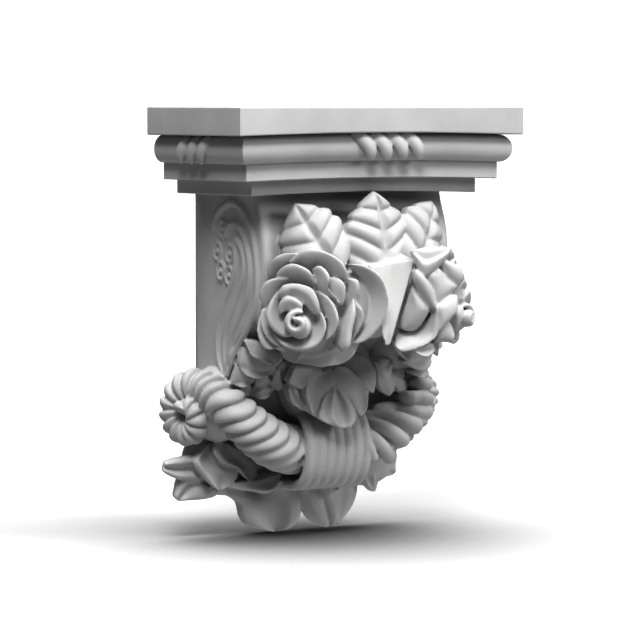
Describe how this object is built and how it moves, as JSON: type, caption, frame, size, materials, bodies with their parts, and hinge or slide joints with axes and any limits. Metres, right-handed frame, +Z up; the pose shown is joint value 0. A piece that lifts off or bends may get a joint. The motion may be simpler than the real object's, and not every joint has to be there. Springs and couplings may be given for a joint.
{
  "type": "ornamental wall corbel",
  "caption": "Moulded wall corbel: stepped capital on a scrolled console with roses, leaves, tied horns and lilies in high relief; flat back and flat top shelf.",
  "frame": {"origin": "on the wall face, on the centre line, level with the underside of the capital", "axes": "+Z up, +Y into the wall, so the front looks along -Y, X across the wall"},
  "size_m": [0.3, 0.1727, 0.3854],
  "materials": {
    "cast_polyurethane": "matt white primer on moulded polyurethane"
  },
  "bodies": {
    "root": {"corbel": "cast_polyurethane"}
  },
  "joints": []
}
